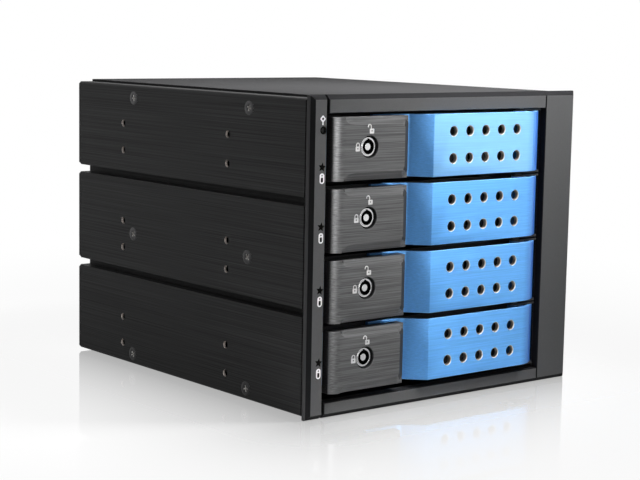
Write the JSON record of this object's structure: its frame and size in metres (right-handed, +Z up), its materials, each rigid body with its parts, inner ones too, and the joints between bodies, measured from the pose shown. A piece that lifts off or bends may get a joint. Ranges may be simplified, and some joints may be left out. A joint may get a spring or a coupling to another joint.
{
  "type": "hot swap drive cage",
  "caption": "Metal cage that fills three 5.25 inch bays and holds 3.5 inch drives in sliding trays, each with a blue swinging handle, push latch and key lock, and a fan behind.",
  "frame": {"origin": "middle of the underside of the bottom plate, halfway along the shell's depth", "axes": "+X to the right seen from the front, +Y to the back, along the trays, +Z up; the handles face -Y"},
  "size_m": [0.148, 0.2029, 0.1274],
  "materials": {
    "side_paint": "black powder coat",
    "cover_steel": "dark brushed",
    "bezel_metal": "dark anodised satin",
    "handle_blue": "blue anodised, brushed across",
    "button_metal": "grey anodised, brushed across",
    "lock_chrome": "polished",
    "pin_steel": "bright",
    "tray_metal": "black satin",
    "guide_plastic": "moulded",
    "board_green": "solder mask",
    "socket_black": "moulded",
    "port_white": "moulded",
    "lens_clear": "clear",
    "screw_black": "black oxide",
    "fan_plastic": "moulded",
    "guide_steel": "black satin"
  },
  "bodies": {
    "cage": {"side_panel_left": "side_paint", "side_panel_right": "side_paint", "bottom_plate": "cover_steel", "top_cover": "cover_steel", "front_frame": "side_paint", "bezel_left_column": "bezel_metal", "bezel_right_column": "bezel_metal", "bezel_top_bar": "bezel_metal", "bezel_bottom_bar": "bezel_metal", "led_board": "board_green", "led_lenses": "lens_clear", "guide_wall_left": "guide_steel", "guide_wall_right": "guide_steel", "guide_rails": "guide_plastic", "guide_spacers": "guide_plastic", "backplane": "board_green", "drive_sockets": "socket_black", "data_ports": "socket_black", "power_ports": "port_white", "alarm_buzzer": "socket_black", "board_screws": "pin_steel", "rear_panel": "side_paint", "fan_frame": "fan_plastic", "fan_screws": "screw_black", "side_screws": "screw_black"},
    "reset": {"reset_button": "guide_plastic"},
    "rotor": {"fan_rotor": "fan_plastic"},
    "tray_body_1": {"tray_1": "tray_metal", "tray_front_1": "tray_metal", "hinge_pin_1": "pin_steel"},
    "handle_body_1": {"handle_1": "handle_blue"},
    "button_body_1": {"latch_button_1": "button_metal"},
    "hook_body_1": {"latch_hook_1": "pin_steel"},
    "lock_body_1": {"lock_cylinder_1": "lock_chrome", "lock_cam_1": "pin_steel"},
    "tray_body_2": {"tray_2": "tray_metal", "tray_front_2": "tray_metal", "hinge_pin_2": "pin_steel"},
    "handle_body_2": {"handle_2": "handle_blue"},
    "button_body_2": {"latch_button_2": "button_metal"},
    "hook_body_2": {"latch_hook_2": "pin_steel"},
    "lock_body_2": {"lock_cylinder_2": "lock_chrome", "lock_cam_2": "pin_steel"},
    "tray_body_3": {"tray_3": "tray_metal", "tray_front_3": "tray_metal", "hinge_pin_3": "pin_steel"},
    "handle_body_3": {"handle_3": "handle_blue"},
    "button_body_3": {"latch_button_3": "button_metal"},
    "hook_body_3": {"latch_hook_3": "pin_steel"},
    "lock_body_3": {"lock_cylinder_3": "lock_chrome", "lock_cam_3": "pin_steel"},
    "tray_body_4": {"tray_4": "tray_metal", "tray_front_4": "tray_metal", "hinge_pin_4": "pin_steel"},
    "handle_body_4": {"handle_4": "handle_blue"},
    "button_body_4": {"latch_button_4": "button_metal"},
    "hook_body_4": {"latch_hook_4": "pin_steel"},
    "lock_body_4": {"lock_cylinder_4": "lock_chrome", "lock_cam_4": "pin_steel"}
  },
  "joints": [
    {"name": "reset_push", "type": "slide", "parent": "cage", "child": "reset", "axis": [0, 1, 0], "range_m": [0, 0.0003], "stiffness_N_per_m": 200, "springref_m": -0.0005},
    {"name": "fan_spin", "type": "hinge", "parent": "cage", "child": "rotor", "pos_m": [0.024, 0.085, 0.0635], "axis": [0, -1, 0], "continuous": true},
    {"name": "tray_slide_1", "type": "slide", "parent": "cage", "child": "tray_body_1", "axis": [0, -1, 0], "range_m": [0, 0.14]},
    {"name": "handle_hinge_1", "type": "hinge", "parent": "tray_body_1", "child": "handle_body_1", "pos_m": [0.0435, -0.0843, 0.1063], "axis": [0, 0, 1], "range_deg": [0, 75]},
    {"name": "button_push_1", "type": "slide", "parent": "handle_body_1", "child": "button_body_1", "axis": [0, 1, 0], "range_m": [0, 0.0024], "stiffness_N_per_m": 600, "springref_m": -0.002},
    {"name": "hook_slide_1", "type": "slide", "parent": "handle_body_1", "child": "hook_body_1", "axis": [1, 0, 0], "range_m": [0, 0.0024]},
    {"name": "lock_turn_1", "type": "hinge", "parent": "button_body_1", "child": "lock_body_1", "pos_m": [-0.0466, -0.0907, 0.1069], "axis": [0, 1, 0], "range_deg": [0, 90]},
    {"name": "tray_slide_2", "type": "slide", "parent": "cage", "child": "tray_body_2", "axis": [0, -1, 0], "range_m": [0, 0.14]},
    {"name": "handle_hinge_2", "type": "hinge", "parent": "tray_body_2", "child": "handle_body_2", "pos_m": [0.0435, -0.0843, 0.0783], "axis": [0, 0, 1], "range_deg": [0, 75]},
    {"name": "button_push_2", "type": "slide", "parent": "handle_body_2", "child": "button_body_2", "axis": [0, 1, 0], "range_m": [0, 0.0024], "stiffness_N_per_m": 600, "springref_m": -0.002},
    {"name": "hook_slide_2", "type": "slide", "parent": "handle_body_2", "child": "hook_body_2", "axis": [1, 0, 0], "range_m": [0, 0.0024]},
    {"name": "lock_turn_2", "type": "hinge", "parent": "button_body_2", "child": "lock_body_2", "pos_m": [-0.0466, -0.0907, 0.0789], "axis": [0, 1, 0], "range_deg": [0, 90]},
    {"name": "tray_slide_3", "type": "slide", "parent": "cage", "child": "tray_body_3", "axis": [0, -1, 0], "range_m": [0, 0.14]},
    {"name": "handle_hinge_3", "type": "hinge", "parent": "tray_body_3", "child": "handle_body_3", "pos_m": [0.0435, -0.0843, 0.0503], "axis": [0, 0, 1], "range_deg": [0, 75]},
    {"name": "button_push_3", "type": "slide", "parent": "handle_body_3", "child": "button_body_3", "axis": [0, 1, 0], "range_m": [0, 0.0024], "stiffness_N_per_m": 600, "springref_m": -0.002},
    {"name": "hook_slide_3", "type": "slide", "parent": "handle_body_3", "child": "hook_body_3", "axis": [1, 0, 0], "range_m": [0, 0.0024]},
    {"name": "lock_turn_3", "type": "hinge", "parent": "button_body_3", "child": "lock_body_3", "pos_m": [-0.0466, -0.0907, 0.0509], "axis": [0, 1, 0], "range_deg": [0, 90]},
    {"name": "tray_slide_4", "type": "slide", "parent": "cage", "child": "tray_body_4", "axis": [0, -1, 0], "range_m": [0, 0.14]},
    {"name": "handle_hinge_4", "type": "hinge", "parent": "tray_body_4", "child": "handle_body_4", "pos_m": [0.0435, -0.0843, 0.0223], "axis": [0, 0, 1], "range_deg": [0, 75]},
    {"name": "button_push_4", "type": "slide", "parent": "handle_body_4", "child": "button_body_4", "axis": [0, 1, 0], "range_m": [0, 0.0024], "stiffness_N_per_m": 600, "springref_m": -0.002},
    {"name": "hook_slide_4", "type": "slide", "parent": "handle_body_4", "child": "hook_body_4", "axis": [1, 0, 0], "range_m": [0, 0.0024]},
    {"name": "lock_turn_4", "type": "hinge", "parent": "button_body_4", "child": "lock_body_4", "pos_m": [-0.0466, -0.0907, 0.0229], "axis": [0, 1, 0], "range_deg": [0, 90]}
  ],
  "couplings": [
    {"joint": "hook_slide_1", "follows": "button_push_1", "ratio": 1},
    {"joint": "hook_slide_2", "follows": "button_push_2", "ratio": 1},
    {"joint": "hook_slide_3", "follows": "button_push_3", "ratio": 1},
    {"joint": "hook_slide_4", "follows": "button_push_4", "ratio": 1}
  ]
}
